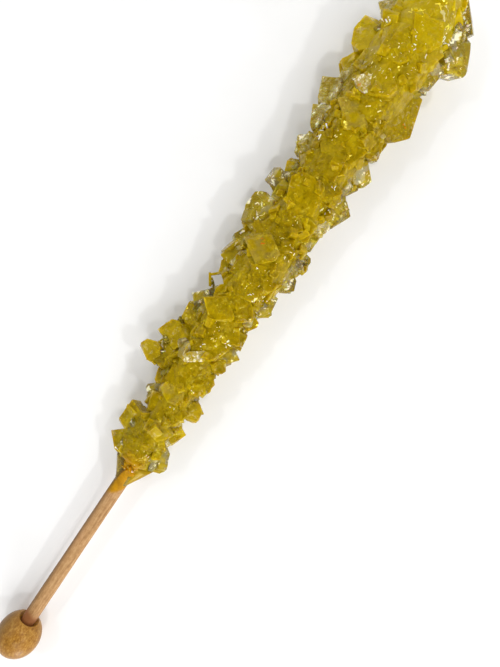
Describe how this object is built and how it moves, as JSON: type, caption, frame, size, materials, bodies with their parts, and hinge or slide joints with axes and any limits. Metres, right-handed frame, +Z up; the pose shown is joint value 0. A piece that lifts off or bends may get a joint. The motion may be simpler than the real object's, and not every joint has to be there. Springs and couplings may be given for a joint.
{
  "type": "rock candy stick",
  "caption": "Yellow rock candy: blocky sugar crystals grown over one end of a pale wooden dowel, with a small wooden ball on the other end as a grip. It lies on its side.",
  "frame": {"origin": "on the table, under the middle of the object's box, as the sweet lies", "axes": "+X along the stick from the ball to the candy's tip, +Z up from the table"},
  "size_m": [0.1776, 0.0266, 0.0195],
  "materials": {
    "golden_wood": "smooth, lightly waxed, golden brown",
    "pale_birch": "plain, matt, stained yellow where it enters the sugar",
    "yellow_sugar": "cloudy see-through sugar crystal with glossy faces"
  },
  "bodies": {
    "root": {"ball": "golden_wood", "stick": "pale_birch", "candy": "yellow_sugar"}
  },
  "joints": []
}
